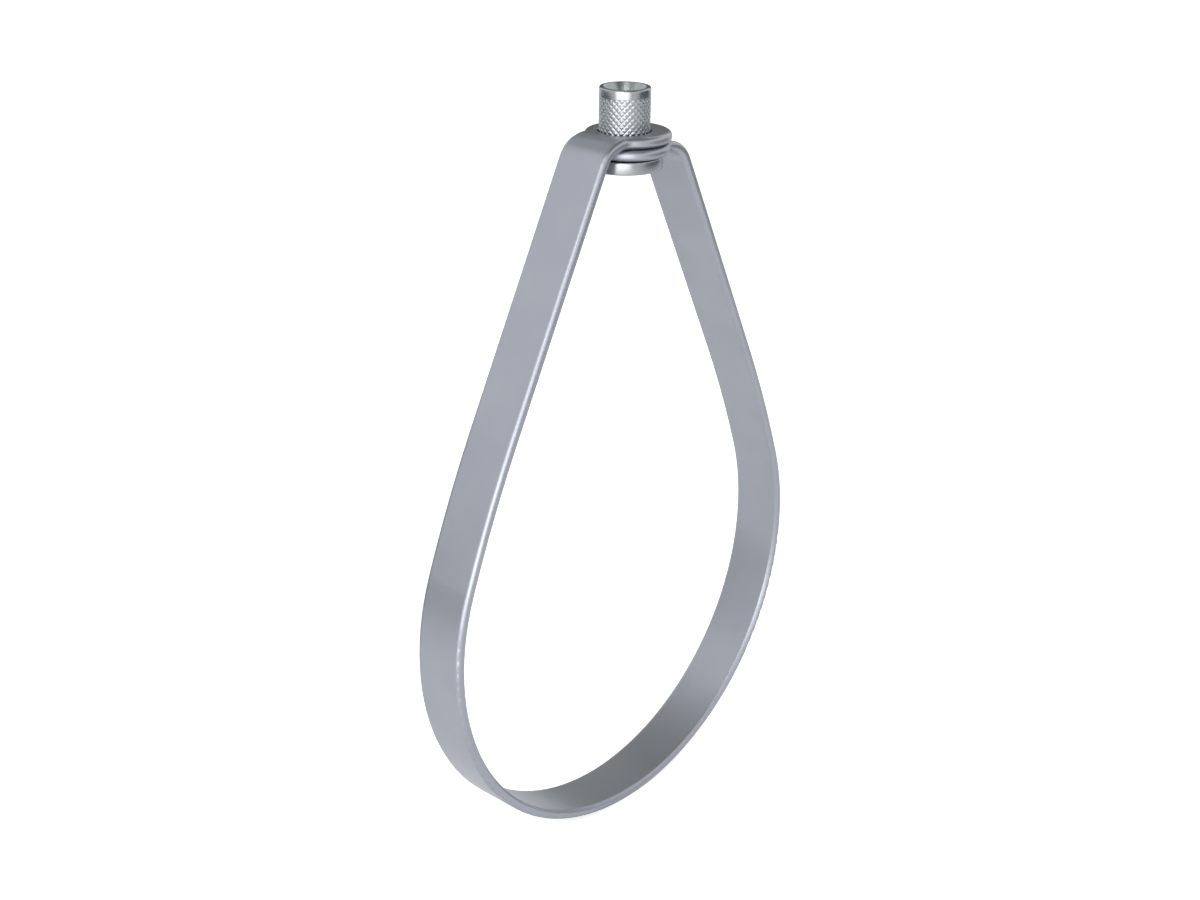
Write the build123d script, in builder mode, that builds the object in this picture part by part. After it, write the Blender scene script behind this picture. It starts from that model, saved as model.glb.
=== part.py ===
# Swivel ring hanger: a folded steel band that carries a pipe and turns on a flanged nut.
# The origin is the centre of the pipe, +Z is up along the hanging rod and the pipe runs along Y.

import os
from math import acos, atan2, cos, degrees, hypot, radians, sin, tan

from build123d import *

os.makedirs("parts", exist_ok=True)

# Driving sizes, in millimetres and degrees

# The pipe and the seat that is bent round it
pipe_diameter = 168.3
pipe_clearance = 0.95

# The strip that the band is folded from
band_width = 20.0
band_thickness = 3.5
outer_edge_round = 1.5
inner_edge_chamfer = 1.0

# The legs, from the seat up to the folds
shoulder_radius = 424.0
shoulder_turn = 6.8
leg_clearance = 3.4
fold_height = 163.7
upper_fold_radius = 7.0
lower_fold_radius = 9.0
tab_reach = 5.9
tab_slope = 14.0
tab_bend_radius = 6.0

# The two eyes that the nut passes through
eye_diameter = 29.2
upper_eye_offset = 1.9
lower_eye_offset = -1.3
eye_gap = 0.5
neck_radius = 3.5
nut_clearance = 0.4

# The nut
nut_diameter = 17.2
nut_length = 26.8
rod_bore = 10.8
mouth_diameter = 14.6
mouth_angle = 60.0
foot_mouth_diameter = 12.8
foot_mouth_angle = 90.0
rim_chamfer = 0.6
flange_diameter = 26.0
flange_height = 4.3
flange_chamfer = 0.4
flange_gap = 0.4

# Sizes that follow from them

seat_radius = pipe_diameter / 2 + pipe_clearance
seat_middle = seat_radius + band_thickness / 2
seat_outside = seat_radius + band_thickness
shoulder_middle = shoulder_radius + band_thickness / 2
eye_radius = eye_diameter / 2
eye_hole_radius = nut_diameter / 2 + nut_clearance
upper_eye_middle = fold_height + (eye_gap + band_thickness) / 2
lower_eye_middle = fold_height - (eye_gap + band_thickness) / 2

# A leg is straight from the fold, where the eyes meet it, to the end of the shoulder's arc, and
# that arc sets how far from the pipe's centre it passes. Angles go round from straight down.
leg_spread = eye_radius + leg_clearance
leg_offset = shoulder_middle - (shoulder_middle - seat_middle) * cos(radians(shoulder_turn))
fold_reach = hypot(leg_spread, fold_height)
leg_end = degrees(atan2(leg_spread, -fold_height) - acos(leg_offset / fold_reach))
leg_slope = tan(radians(leg_end - 90))
seat_wrap = leg_end - shoulder_turn
shoulder_x = (seat_middle - shoulder_middle) * sin(radians(seat_wrap))
shoulder_z = (shoulder_middle - seat_middle) * cos(radians(seat_wrap))

flange_top = lower_eye_middle - band_thickness / 2 - flange_gap
nut_foot = flange_top - flange_height
nut_top = nut_foot + nut_length


def folded_leg(eye_middle, eye_offset, fold_radius):
    """Half the band, on the +X side: from the bottom of the seat to the tip of its eye."""
    fold_middle = fold_radius + band_thickness / 2
    # Short of the leg's line the eye's level ends, and a tab slopes down to meet that line.
    leg_at_eye = leg_spread + (fold_height - eye_middle) * leg_slope
    tab_start = leg_at_eye - tab_reach
    tab_fall = tan(radians(tab_slope))
    fold_drop = tab_reach * tab_fall / (1 - tab_fall * leg_slope)
    fold_corner = (leg_at_eye + fold_drop * leg_slope, eye_middle - fold_drop)
    head_floor = eye_middle - fold_middle - band_thickness

    # The space the leg keeps: the width of the strip, then the outline of its neck and eye
    with BuildPart() as outline:
        with BuildSketch(Plane.XY.offset(head_floor)):
            Rectangle(2 * seat_outside, band_width, align=(Align.MIN, Align.CENTER))
        extrude(amount=-head_floor - seat_outside)
        with BuildSketch(Plane.XY.offset(head_floor)) as head:
            Rectangle(2 * seat_outside, band_width, align=(Align.MIN, Align.CENTER))
            with Locations((-eye_offset, 0)):
                Circle(eye_radius)
            fillet(head.vertices().filter_by_position(Axis.X, 0, eye_radius), neck_radius)
        extrude(amount=fold_middle + 2 * band_thickness)

    # A blank as wide as the eye follows the seat, the shoulder, the leg and the fold.
    with BuildPart() as leg:
        with BuildSketch(Plane.XZ):
            with BuildLine():
                CenterArc((0, 0), seat_middle, -90, seat_wrap)
                shoulder = CenterArc(
                    (shoulder_x, shoulder_z), shoulder_middle, seat_wrap - 90, shoulder_turn
                )
                FilletPolyline(
                    shoulder @ 1,
                    fold_corner,
                    (tab_start, eye_middle),
                    (-eye_offset - eye_radius, eye_middle),
                    radius=(fold_middle, tab_bend_radius),
                )
            trace(line_width=band_thickness)
        extrude(amount=eye_radius, both=True)
        add(outline.part, mode=Mode.INTERSECT)
        # The edges along the strip and round the eye are rounded over on the outside, and
        # chamfered on the side that looks towards the pipe.
        long_edges = leg.edges().filter_by(Axis.Y, reverse=True).filter_by(Axis.Z, reverse=True)
        inner_faces = leg.faces().filter_by(lambda face: face.normal_at().dot(face.center()) < 0)
        outer_edges = long_edges - inner_faces.edges()
        fillet(outer_edges, outer_edge_round)
        chamfer(long_edges - outer_edges, inner_edge_chamfer)
    return leg.part


lower_leg = folded_leg(lower_eye_middle, lower_eye_offset, lower_fold_radius)
upper_leg = folded_leg(upper_eye_middle, upper_eye_offset, upper_fold_radius)

# The two halves meet under the pipe, and one hole goes through both eyes.
with BuildPart() as ring_band:
    add(lower_leg)
    add(mirror(upper_leg, about=Plane.YZ, mode=Mode.PRIVATE))
    with BuildSketch(Plane.XY.offset(nut_foot)):
        Circle(eye_hole_radius)
    extrude(amount=nut_length, mode=Mode.SUBTRACT)

ring_band.part.label = "ring_band"
export_step(ring_band.part, "parts/ring_band.step")

# The nut is pushed up through the eyes until its flange is under the lower one.
with BuildPart() as knurled_nut:
    with BuildSketch(Plane.XY.offset(nut_foot)):
        Circle(flange_diameter / 2)
    extrude(amount=flange_height)
    chamfer(knurled_nut.edges().filter_by(GeomType.CIRCLE), flange_chamfer)
    with BuildSketch(Plane.XY.offset(nut_foot)):
        Circle(nut_diameter / 2)
    extrude(amount=nut_length)
    chamfer(knurled_nut.edges().group_by(Axis.Z)[-1], rim_chamfer)
    # The rod's bore opens into a countersunk mouth at both ends.
    with Locations(Plane.XY.offset(nut_top)):
        CounterSinkHole(rod_bore / 2, mouth_diameter / 2, nut_length, mouth_angle)
    with Locations(-Plane.XY.offset(nut_foot)):
        CounterSinkHole(rod_bore / 2, foot_mouth_diameter / 2, nut_length, foot_mouth_angle)

knurled_nut.part.label = "knurled_nut"
export_step(knurled_nut.part, "parts/knurled_nut.step")
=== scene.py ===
# Swivel ring hanger: a satin zinc band and a bright knurled nut on a white studio floor.
# Everything is in metres, in the frame of the solids: +Z up along the rod, the pipe along Y.

from math import cos, pi, radians, sin, tan

import bpy
from mathutils import Matrix, Vector


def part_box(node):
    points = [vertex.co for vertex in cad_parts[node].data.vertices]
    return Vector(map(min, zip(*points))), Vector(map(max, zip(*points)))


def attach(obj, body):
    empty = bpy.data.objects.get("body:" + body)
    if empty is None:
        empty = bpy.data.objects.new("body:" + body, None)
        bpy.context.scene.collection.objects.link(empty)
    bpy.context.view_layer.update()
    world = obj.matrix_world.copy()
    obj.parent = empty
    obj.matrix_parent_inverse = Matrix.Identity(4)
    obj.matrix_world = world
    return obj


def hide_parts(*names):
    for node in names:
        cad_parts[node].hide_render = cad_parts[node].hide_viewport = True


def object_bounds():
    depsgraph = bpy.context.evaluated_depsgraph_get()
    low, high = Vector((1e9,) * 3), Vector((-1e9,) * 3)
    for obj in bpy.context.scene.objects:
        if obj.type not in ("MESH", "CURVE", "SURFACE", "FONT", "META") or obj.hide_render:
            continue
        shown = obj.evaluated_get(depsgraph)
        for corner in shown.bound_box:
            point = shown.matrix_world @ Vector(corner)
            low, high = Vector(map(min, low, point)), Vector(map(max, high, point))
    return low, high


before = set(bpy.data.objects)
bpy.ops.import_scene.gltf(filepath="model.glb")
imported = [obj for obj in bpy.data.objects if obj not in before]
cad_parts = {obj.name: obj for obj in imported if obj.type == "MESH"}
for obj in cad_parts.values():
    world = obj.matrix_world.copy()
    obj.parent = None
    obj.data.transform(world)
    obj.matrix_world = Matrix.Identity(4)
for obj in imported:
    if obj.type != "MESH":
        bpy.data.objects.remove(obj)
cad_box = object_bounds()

MM = 0.001

# The camera, as it stood for the photograph
camera_place = Vector((-0.42458, -0.37059, 0.29114))
camera_azimuth = radians(48.24)
camera_elevation = radians(22.92)
camera_roll = radians(-0.92)
camera_lens = 51.6

# The nut, read from its solid
nut_low, nut_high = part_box("knurled_nut")
nut_foot = nut_low.z
nut_top = nut_high.z
flange_radius = nut_high.x

# The rest of the nut
barrel_radius = 8.6 * MM
flange_height = 4.3 * MM
flange_round = 0.5 * MM
rim_round = 0.6 * MM
mouth_radius = 7.3 * MM
mouth_slope = radians(30)
foot_mouth_radius = 6.4 * MM
lip_round = 0.12 * MM
bore_radius = 5.4 * MM
collar_height = 3.0 * MM
sharp_angle = radians(20)

# The diamond knurl
knurl_lines = 26
knurl_pitch = 2.1 * MM
knurl_depth = 0.17 * MM
knurl_fade = 0.3 * MM
knurl_edge = 0.1 * MM
knurl_steps = 8
knurl_groove_steps = 3.2

# The rod's thread, right-handed
thread_pitch = 25.4 / 13 * MM
thread_depth = 0.93 * MM
thread_fade = 0.9 * MM
thread_steps = 12

# The band's satin zinc
band_zinc_dark = (0.363, 0.381, 0.433, 1)
band_zinc_light = (0.377, 0.395, 0.447, 1)
band_edge = (0.58, 0.6, 0.64, 1)
band_scratch = (0.5, 0.51, 0.53, 1)
# Painted shade: the dark colour of the band's hollows and of the shadow beside the nut
band_painted_shade = (0.16, 0.165, 0.16, 1)

# The nut's bright zinc
nut_zinc_dark = (0.35, 0.373, 0.388, 1)
nut_zinc_light = (0.39, 0.415, 0.43, 1)
nut_edge = (0.68, 0.71, 0.73, 1)
# Painted shade: the dark colour of the nut's grooves and bore
nut_painted_shade = (0.1, 0.11, 0.1, 1)

# The studio
floor_height = cad_box[0][2]
floor_reach = 12.0
floor_paper = (0.86, 0.86, 0.86, 1)
floor_glow = 0.6
floor_glow_in_metal = 0.08
world_light = 0.86
world_shown = 1.0
camera_side = radians(270) - camera_azimuth
lamp_distance = 1.0
lamp_foot = floor_height + 0.005
table_height = floor_height + 0.002
wall_place = 0.2
ceiling_height = 1.33


def rounded(corners, steps=5):
    """A polyline of (radius, height, rounding) corners with each rounding swept as an arc."""
    line = []
    for k, (r, z, rounding) in enumerate(corners):
        corner = Vector((r, z))
        if rounding == 0:
            line.append(corner)
            continue
        before = Vector(corners[k - 1][:2])
        after = Vector(corners[(k + 1) % len(corners)][:2])
        to_before = (before - corner).normalized()
        to_after = (after - corner).normalized()
        half = to_before.angle(to_after) / 2
        reach = rounding * cos(half) / sin(half)
        centre = corner + (to_before + to_after).normalized() * rounding / sin(half)
        start = corner + to_before * reach - centre
        end = corner + to_after * reach - centre
        for step in range(steps + 1):
            spoke = start.normalized().slerp(end.normalized(), step / steps)
            line.append(centre + spoke * rounding)
    return line


def off_groove(count):
    """Steps from there to the middle of the nearest knurl groove of one hand."""
    return abs((count + knurl_steps // 2) % knurl_steps - knurl_steps // 2)


def groove(count):
    """How deep the knurl is cut there by the grooves of one hand, 0 at a crest and 1 at a root."""
    return (1 + cos(pi * min(1.0, off_groove(count) / knurl_groove_steps))) / 2


def tooth(turn):
    """How deep the thread is cut, 0 at its crest and 1 at its root, over one pitch."""
    away = abs((turn + 0.5) % 1 - 0.5) * 2
    return min(1.0, max(0.0, (0.75 - away) / 0.625))


def fade(distance, length):
    """How much of its full depth a cut has that far from where it starts."""
    return min(1.0, max(0.0, distance / length))


def build_nut():
    """One closed skin: flange, knurled barrel, collar, mouth, thread and the mouth at the foot."""
    columns = knurl_lines * knurl_steps
    turns = [2 * pi * i / columns for i in range(columns)]
    flange_top = nut_foot + flange_height
    collar_foot = nut_top - collar_height
    mouth_floor = nut_top - (mouth_radius - bore_radius) / tan(mouth_slope)
    foot_mouth_floor = nut_foot + foot_mouth_radius - bore_radius

    rings = []

    def add_ring(radii, z):
        rings.append([(r * cos(a), r * sin(a), z) for r, a in zip(radii, turns)])

    skirt = rounded([
        (bore_radius, foot_mouth_floor, 0),
        (foot_mouth_radius, nut_foot, lip_round),
        (flange_radius, nut_foot, flange_round),
        (flange_radius, flange_top, flange_round),
        (barrel_radius, flange_top, 0),
    ])
    for r, z in skirt:
        add_ring([r] * columns, z)

    knurl_first = len(rings)
    knurl_step = knurl_pitch / knurl_steps
    knurl_rows = int((collar_foot - flange_top) / knurl_step)
    for row in range(1, knurl_rows):
        z = collar_foot - (knurl_rows - row) * knurl_step
        depth = knurl_depth * fade(collar_foot - z, knurl_fade) * fade(z - flange_top, knurl_fade)
        radii = [
            barrel_radius - depth * max(groove(column + row), groove(column - row))
            for column in range(columns)
        ]
        add_ring(radii, z)
    knurl_last = len(rings)

    crown = rounded([
        (barrel_radius, collar_foot, 0),
        (barrel_radius, collar_foot + knurl_edge, 0),
        (barrel_radius, nut_top, rim_round),
        (mouth_radius, nut_top, lip_round),
        (bore_radius, mouth_floor, 0),
    ])
    for r, z in crown:
        add_ring([r] * columns, z)

    thread_length = mouth_floor - foot_mouth_floor
    thread_rows = int(thread_length / thread_pitch * thread_steps)
    for row in range(1, thread_rows):
        z = mouth_floor - thread_length * row / thread_rows
        run_in = fade(mouth_floor - z, thread_fade)
        run_out = fade(z - foot_mouth_floor, thread_fade)
        depth = thread_depth * run_in * run_out
        radii = [bore_radius + depth * tooth(z / thread_pitch - a / (2 * pi)) for a in turns]
        add_ring(radii, z)

    faces = []
    for j in range(len(rings)):
        above = (j + 1) % len(rings)
        for i in range(columns):
            right = (i + 1) % columns
            a = j * columns + i
            b = j * columns + right
            c = above * columns + right
            d = above * columns + i
            if not knurl_first - 1 <= j < knurl_last:
                faces.append((a, b, c, d))
                continue
            # In the knurl each face is split along the groove that runs nearest to it.
            row = j - knurl_first + 1
            if off_groove(i - row) <= off_groove(i + row + 1):
                faces += [(a, b, c), (a, c, d)]
            else:
                faces += [(a, b, d), (b, c, d)]

    mesh = bpy.data.meshes.new("knurled_nut_look")
    mesh.from_pydata([corner for ring in rings for corner in ring], [], faces)
    mesh.polygons.foreach_set("use_smooth", [True] * len(mesh.polygons))
    mesh.set_sharp_from_angle(angle=sharp_angle)
    mesh.validate()
    piece = bpy.data.objects.new("knurled_nut_look", mesh)
    bpy.context.scene.collection.objects.link(piece)
    return piece


# Node helpers


class Nodes:
    """Adds nodes to a tree and joins them, so that a material reads as a list of steps."""

    def __init__(self, tree):
        self.tree = tree

    def add(self, kind, inputs=None, **settings):
        node = self.tree.nodes.new(kind)
        for name, value in settings.items():
            setattr(node, name, value)
        for name, value in (inputs or {}).items():
            self.put(node.inputs[name], value)
        return node

    def put(self, socket, value):
        if isinstance(value, bpy.types.NodeSocket):
            self.tree.links.new(value, socket)
        else:
            socket.default_value = value

    def math(self, operation, first, second, clamp=False):
        node = self.add(
            "ShaderNodeMath", {0: first, 1: second}, operation=operation, use_clamp=clamp
        )
        return node.outputs[0]

    def part(self, mask, amount):
        """A mask brought down to that amount where it is strongest."""
        return self.math("MULTIPLY", mask, amount)

    def ramp(self, value, low, high, to_low=0.0, to_high=1.0):
        node = self.add("ShaderNodeMapRange", {
            "Value": value, "From Min": low, "From Max": high, "To Min": to_low, "To Max": to_high,
        }, interpolation_type="SMOOTHSTEP")
        return node.outputs["Result"]

    def blend(self, factor, first, second):
        node = self.add("ShaderNodeMix", data_type="RGBA")
        self.put(node.inputs["Factor"], factor)
        self.put(node.inputs["A"], first)
        self.put(node.inputs["B"], second)
        return node.outputs["Result"]

    def group(self, tree, inputs):
        return self.add("ShaderNodeGroup", inputs, node_tree=tree)


def empty_tree(thing):
    """Gives a material or the world an empty node tree to build in."""
    thing.use_nodes = True
    thing.node_tree.nodes.clear()
    return Nodes(thing.node_tree)


def effect(name, inputs, outputs):
    """A node group with named sockets: its tree, its inner nodes, its input and its output."""
    tree = bpy.data.node_groups.new(name, "ShaderNodeTree")
    for socket, (kind, value) in inputs.items():
        made = tree.interface.new_socket(name=socket, in_out="INPUT", socket_type=kind)
        if value is not None:
            made.default_value = value
    for socket, kind in outputs.items():
        tree.interface.new_socket(name=socket, in_out="OUTPUT", socket_type=kind)
    nodes = Nodes(tree)
    return tree, nodes, nodes.add("NodeGroupInput"), nodes.add("NodeGroupOutput")


# The effects that both finishes use

FLOAT = "NodeSocketFloat"
VECTOR = "NodeSocketVector"


def fine_grain():
    """The grain of plated steel: fine pits, and a slower drift of tone."""
    tree, nodes, given, out = effect(
        "fine_grain",
        {"Place": (VECTOR, None), "Grain": (FLOAT, 2500.0), "Drift": (FLOAT, 60.0)},
        {"Height": FLOAT, "Tone": FLOAT},
    )
    fine = nodes.add("ShaderNodeTexNoise", {
        "Vector": given.outputs["Place"],
        "Scale": given.outputs["Grain"],
        "Detail": 3.0,
        "Roughness": 0.6,
    })
    slow = nodes.add("ShaderNodeTexNoise", {
        "Vector": given.outputs["Place"],
        "Scale": given.outputs["Drift"],
        "Detail": 4.0,
        "Roughness": 0.55,
    })
    nodes.put(out.inputs["Height"], fine.outputs["Fac"])
    nodes.put(out.inputs["Tone"], nodes.ramp(slow.outputs["Fac"], 0.3, 0.7))
    return tree


def edge_rub():
    """Where an edge is handled: the corner that a soft bevel would round away."""
    tree, nodes, given, out = effect(
        "edge_rub",
        {"Width": (FLOAT, 0.8 * MM), "Breakup": (FLOAT, 0.5)},
        {"Mask": FLOAT, "Soft Normal": VECTOR},
    )
    soft = nodes.add("ShaderNodeBevel", {"Radius": given.outputs["Width"]}, samples=6)
    geometry = nodes.add("ShaderNodeNewGeometry")
    facing = nodes.add("ShaderNodeVectorMath", {
        0: soft.outputs["Normal"], 1: geometry.outputs["Normal"],
    }, operation="DOT_PRODUCT")
    bend = nodes.ramp(facing.outputs["Value"], 1.0, 0.86)
    place = nodes.add("ShaderNodeTexCoord")
    patchy = nodes.add("ShaderNodeTexNoise", {
        "Vector": place.outputs["Object"], "Scale": 420.0, "Detail": 3.0,
    })
    missed = nodes.math("MULTIPLY", patchy.outputs["Fac"], given.outputs["Breakup"])
    worn = nodes.math("SUBTRACT", 1.0, missed)
    nodes.put(out.inputs["Mask"], nodes.math("MULTIPLY", bend, worn, clamp=True))
    nodes.put(out.inputs["Soft Normal"], soft.outputs["Normal"])
    return tree


def hollow_shade():
    """Painted shade: a mask of the corners and hollows that little light gets into."""
    tree, nodes, given, out = effect(
        "hollow_shade",
        {"Reach": (FLOAT, 1.0 * MM), "Start": (FLOAT, 0.75)},
        {"Mask": FLOAT},
    )
    open_sky = nodes.add(
        "ShaderNodeAmbientOcclusion", {"Distance": given.outputs["Reach"]}, samples=8
    )
    closed = nodes.math("SUBTRACT", given.outputs["Start"], open_sky.outputs["AO"])
    share = nodes.math("DIVIDE", closed, given.outputs["Start"], clamp=True)
    nodes.put(out.inputs["Mask"], share)
    return tree


def hair_scratches():
    """Fine scratches from handling, drawn out along one direction by the scale of each axis."""
    tree, nodes, given, out = effect(
        "hair_scratches",
        {"Place": (VECTOR, None), "Stretch": (VECTOR, (900.0, 900.0, 60.0)), "Amount": (FLOAT, 0.4)},
        {"Mask": FLOAT},
    )
    drawn = nodes.add("ShaderNodeVectorMath", {
        0: given.outputs["Place"], 1: given.outputs["Stretch"],
    }, operation="MULTIPLY")
    lines = nodes.add("ShaderNodeTexNoise", {
        "Vector": drawn.outputs["Vector"], "Scale": 1.0, "Detail": 5.0, "Roughness": 0.7,
    })
    thin = nodes.ramp(lines.outputs["Fac"], 0.6, 0.72)
    mask = nodes.math("MULTIPLY", thin, given.outputs["Amount"], clamp=True)
    nodes.put(out.inputs["Mask"], mask)
    return tree


FINE_GRAIN = fine_grain()
EDGE_RUB = edge_rub()
HOLLOW_SHADE = hollow_shade()
HAIR_SCRATCHES = hair_scratches()


# The finishes


def new_material(name):
    material = bpy.data.materials.new(name)
    nodes = empty_tree(material)
    shader = nodes.add("ShaderNodeBsdfPrincipled")
    nodes.add("ShaderNodeOutputMaterial", {"Surface": shader.outputs["BSDF"]})
    return material, nodes, shader


def satin_zinc():
    """The band: a dull, even zinc coat on rolled strip, a little brighter on rubbed edges, with
    painted shade in its hollows and a painted shadow on the leg beside the nut.
    """
    material, nodes, shader = new_material("satin_zinc")
    place = nodes.add("ShaderNodeTexCoord").outputs["Object"]
    grain = nodes.group(FINE_GRAIN, {"Place": place, "Grain": 2600.0, "Drift": 55.0})
    rub = nodes.group(EDGE_RUB, {"Width": 0.9 * MM, "Breakup": 0.5})
    # The long reach paints the shadow that the nut's flange and eyes cast on the leg beside them.
    shade = nodes.group(HOLLOW_SHADE, {"Reach": 9.0 * MM, "Start": 0.9})
    scratch = nodes.group(HAIR_SCRATCHES, {
        "Place": place, "Stretch": (1400.0, 90.0, 1400.0), "Amount": 0.5,
    })

    dull = nodes.blend(grain.outputs["Tone"], band_zinc_dark, band_zinc_light)
    rubbed = nodes.blend(nodes.part(rub.outputs["Mask"], 0.45), dull, band_edge)
    marked = nodes.blend(nodes.part(scratch.outputs["Mask"], 0.2), rubbed, band_scratch)
    # Painted shade and shadow: darker where little light gets in, in the folds, between the eyes and
    # on the leg beside the nut's flange.
    with_painted_shade = nodes.blend(nodes.part(shade.outputs["Mask"], 0.3), marked, band_painted_shade)
    nodes.put(shader.inputs["Base Color"], with_painted_shade)

    satin = nodes.ramp(grain.outputs["Tone"], 0.0, 1.0, 0.35, 0.31)
    worn = nodes.math("SUBTRACT", satin, nodes.part(rub.outputs["Mask"], 0.08))
    hollow_rough = nodes.part(shade.outputs["Mask"], 0.2)
    nodes.put(shader.inputs["Roughness"], nodes.math("ADD", worn, hollow_rough))
    shader.inputs["Metallic"].default_value = 0.9

    cut = nodes.part(scratch.outputs["Mask"], 0.2)
    bump = nodes.add("ShaderNodeBump", {
        "Height": nodes.math("SUBTRACT", grain.outputs["Height"], cut),
        "Strength": 0.2,
        "Distance": 0.08 * MM,
        "Normal": rub.outputs["Soft Normal"],
    })
    nodes.put(shader.inputs["Normal"], bump.outputs["Normal"])
    return material


def bright_zinc():
    """The nut: bright zinc plate over turned steel, with painted shade darkening the knurl's grooves
    and the bore.
    """
    material, nodes, shader = new_material("bright_zinc")
    place = nodes.add("ShaderNodeTexCoord").outputs["Object"]
    grain = nodes.group(FINE_GRAIN, {"Place": place, "Grain": 3200.0, "Drift": 240.0})
    rub = nodes.group(EDGE_RUB, {"Width": 0.25 * MM, "Breakup": 0.3})
    shade = nodes.group(HOLLOW_SHADE, {"Reach": 1.2 * MM, "Start": 0.7})
    scratch = nodes.group(HAIR_SCRATCHES, {
        "Place": place, "Stretch": (300.0, 300.0, 5200.0), "Amount": 0.6,
    })

    plate = nodes.blend(grain.outputs["Tone"], nut_zinc_dark, nut_zinc_light)
    rubbed = nodes.blend(nodes.part(rub.outputs["Mask"], 0.4), plate, nut_edge)
    # Painted shade: darker in the knurl's grooves, the bore and the gaps, where little light gets
    # in.
    with_painted_shade = nodes.blend(nodes.part(shade.outputs["Mask"], 0.6), rubbed, nut_painted_shade)
    nodes.put(shader.inputs["Base Color"], with_painted_shade)

    polish = nodes.ramp(grain.outputs["Tone"], 0.0, 1.0, 0.27, 0.23)
    turned = nodes.math("ADD", polish, nodes.part(scratch.outputs["Mask"], 0.08))
    hollow_rough = nodes.part(shade.outputs["Mask"], 0.3)
    nodes.put(shader.inputs["Roughness"], nodes.math("ADD", turned, hollow_rough))
    shader.inputs["Metallic"].default_value = 1.0

    bump = nodes.add("ShaderNodeBump", {
        "Height": nodes.math("SUBTRACT", grain.outputs["Height"], scratch.outputs["Mask"]),
        "Strength": 0.3,
        "Distance": 0.05 * MM,
    })
    nodes.put(shader.inputs["Normal"], bump.outputs["Normal"])
    return material


# The pieces

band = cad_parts["ring_band"]
band.data.materials.clear()
band.data.materials.append(satin_zinc())

nut = build_nut()
nut.data.materials.append(bright_zinc())
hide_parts("knurled_nut")
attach(nut, "nut")


# The studio


def part_of_studio(name, corners, material):
    """One flat sheet of the studio: the floor, or a card that stands or lies near the object."""
    mesh = bpy.data.meshes.new(name)
    mesh.from_pydata(corners, [], [(0, 1, 2, 3)])
    mesh.materials.append(material)
    thing = bpy.data.objects.new(name, mesh)
    bpy.context.scene.collection.objects.link(thing)
    return thing


def showing(nodes, rays):
    """1 for the rays that show a background as such: to the camera, in metal and through glass."""
    seen = nodes.math("MAXIMUM", rays.outputs["Is Camera Ray"], rays.outputs["Is Glossy Ray"])
    return nodes.math("MAXIMUM", seen, rays.outputs["Is Transmission Ray"])


def white_floor():
    """White paper that glows for the camera, so it shows white and still takes a shadow."""
    material = bpy.data.materials.new("white_paper")
    nodes = empty_tree(material)
    rays = nodes.add("ShaderNodeLightPath")
    paper = nodes.add("ShaderNodeBsdfDiffuse", {"Color": floor_paper})
    in_metal = rays.outputs["Is Glossy Ray"]
    strength = nodes.ramp(in_metal, 0.0, 1.0, floor_glow, floor_glow_in_metal)
    glow = nodes.add("ShaderNodeEmission", {
        "Strength": nodes.math("MULTIPLY", showing(nodes, rays), strength),
    })
    both = nodes.add("ShaderNodeAddShader", {0: paper.outputs["BSDF"], 1: glow.outputs["Emission"]})
    nodes.add("ShaderNodeOutputMaterial", {"Surface": both.outputs["Shader"]})
    corners = [
        (x * floor_reach, y * floor_reach, floor_height)
        for x, y in [(-1, -1), (1, -1), (1, 1), (-1, 1)]
    ]
    part_of_studio("floor", corners, material)


def soft_world():
    """A white world that is shown at full strength and lights the object a little below it."""
    world = bpy.data.worlds.new("studio")
    nodes = empty_tree(world)
    rays = nodes.add("ShaderNodeLightPath")
    sky = nodes.add("ShaderNodeBackground", {
        "Color": (1, 1, 1, 1),
        "Strength": nodes.ramp(showing(nodes, rays), 0.0, 1.0, world_light, world_shown),
    })
    nodes.add("ShaderNodeOutputWorld", {"Surface": sky.outputs["Background"]})
    bpy.context.scene.world = world


def studio_way(turn):
    """The level direction that lies that many degrees to the right of the camera's side."""
    way = camera_side + radians(turn)
    return Vector((cos(way), sin(way), 0))


def upright(turn, distance, width, low, high):
    """Corners of a card that stands on the circle of that distance and faces the object."""
    middle = studio_way(turn) * distance
    along = studio_way(turn + 90) * width / 2
    return [
        middle - along + Vector((0, 0, low)),
        middle + along + Vector((0, 0, low)),
        middle + along + Vector((0, 0, high)),
        middle - along + Vector((0, 0, high)),
    ]


def level(turn, near, far, width, height):
    """Corners of a card that lies level, from near to far along one way."""
    out = studio_way(turn)
    along = studio_way(turn + 90) * width / 2
    up = Vector((0, 0, height))
    return [
        out * near - along + up,
        out * near + along + up,
        out * far + along + up,
        out * far - along + up,
    ]


def behind(left, right, low, high):
    """Corners of a card that stands close behind the ring and lies along it."""
    return [
        (left, wall_place, low),
        (right, wall_place, low),
        (right, wall_place, high),
        (left, wall_place, high),
    ]


def reflected_card(name, corners, colour):
    """A card that only the metal shows, as a photographer's flags and reflectors are used."""
    material = bpy.data.materials.new(name)
    nodes = empty_tree(material)
    face = nodes.add("ShaderNodeEmission", {"Color": (*colour, 1)})
    nodes.add("ShaderNodeOutputMaterial", {"Surface": face.outputs["Emission"]})
    card = part_of_studio(name, corners, material)
    card.visible_camera = False
    card.visible_diffuse = False
    card.visible_transmission = False
    card.visible_volume_scatter = False
    card.visible_shadow = False


def soft_box(name, turn, width, low, high, power):
    """An upright soft box that faces the object and doesn't show in the picture."""
    lamp = bpy.data.lights.new(name, "AREA")
    lamp.shape = "RECTANGLE"
    lamp.size = width
    lamp.size_y = high - low
    lamp.energy = power
    holder = bpy.data.objects.new(name, lamp)
    bpy.context.scene.collection.objects.link(holder)
    outward = studio_way(turn)
    holder.location = outward * lamp_distance + Vector((0, 0, (low + high) / 2))
    holder.rotation_euler = (-outward).to_track_quat("-Z", "Y").to_euler()
    holder.visible_camera = False


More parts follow.
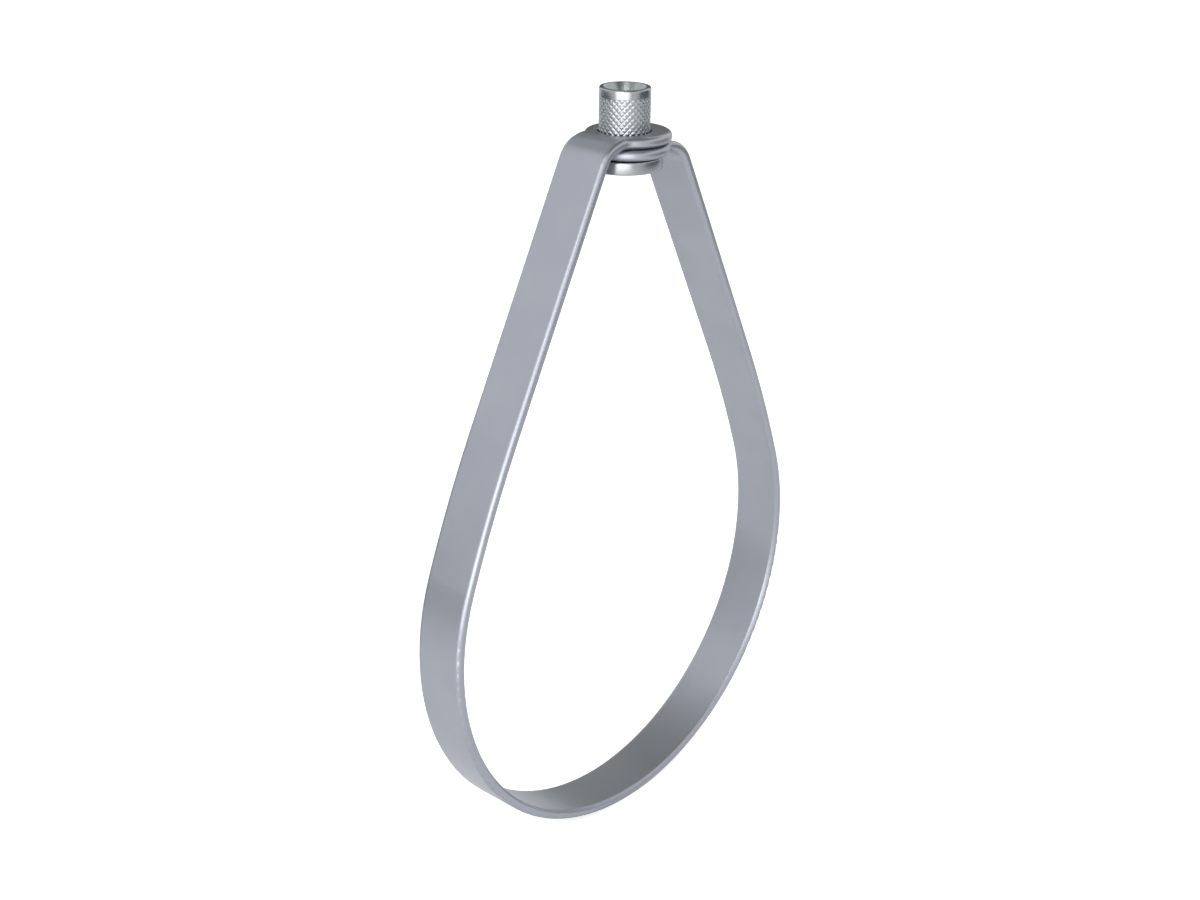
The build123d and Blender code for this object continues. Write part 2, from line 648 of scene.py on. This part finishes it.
def photo_camera():
    forward = Vector((
        sin(camera_azimuth) * cos(camera_elevation),
        cos(camera_azimuth) * cos(camera_elevation),
        -sin(camera_elevation),
    ))
    across = Vector((cos(camera_azimuth), -sin(camera_azimuth), 0))
    down = forward.cross(across)
    right = across * cos(camera_roll) + down * sin(camera_roll)
    up = across * sin(camera_roll) - down * cos(camera_roll)
    lens = bpy.data.cameras.new("camera")
    lens.lens = camera_lens
    lens.sensor_width = 36
    lens.clip_start = 0.01
    lens.clip_end = 100
    camera = bpy.data.objects.new("camera", lens)
    bpy.context.scene.collection.objects.link(camera)
    turn = Matrix((right, up, -forward)).transposed()
    camera.matrix_world = Matrix.Translation(camera_place) @ turn.to_4x4()
    return camera


white_floor()
soft_world()
soft_box("key", turn=-10, width=1.1, low=lamp_foot, high=0.42, power=4.2)
soft_box("tall_light", turn=-26, width=0.56, low=0.42, high=1.0, power=1.8)
soft_box("top_light", turn=-8, width=0.6, low=1.05, high=1.6, power=3.2)

left_table = level(turn=-95, near=0.8, far=3.2, width=1.7, height=table_height)
right_table = level(turn=95, near=0.95, far=3.2, width=2.0, height=table_height)
right_flag = upright(turn=96, distance=1.0, width=1.1, low=floor_height, high=0.24)
screen = behind(left=-0.24, right=-0.06, low=floor_height, high=0.105)
near_wall = behind(left=0.085, right=0.21, low=floor_height, high=0.175)
far_wall = behind(left=0.21, right=0.6, low=floor_height, high=0.175)
high_wall = behind(left=0.065, right=0.6, low=0.175, high=0.36)
ceiling_left = level(turn=90, near=-0.95, far=0.2, width=1.9, height=ceiling_height)
ceiling_right = level(turn=90, near=0.2, far=0.95, width=1.9, height=ceiling_height)

reflected_card("left_table", left_table, (0.1, 0.1, 0.11))
reflected_card("right_table", right_table, (0.1, 0.1, 0.11))
reflected_card("right_flag", right_flag, (0.13, 0.14, 0.15))
reflected_card("screen", screen, (0.45, 0.45, 0.47))
reflected_card("near_wall", near_wall, (0.62, 0.63, 0.6))
reflected_card("far_wall", far_wall, (0.38, 0.39, 0.35))
reflected_card("high_wall", high_wall, (0.12, 0.125, 0.09))
reflected_card("ceiling_left", ceiling_left, (0.42, 0.43, 0.41))
reflected_card("ceiling_right", ceiling_right, (0.1, 0.11, 0.09))

bpy.context.scene.camera = photo_camera()
bpy.context.scene.view_settings.view_transform = "Standard"
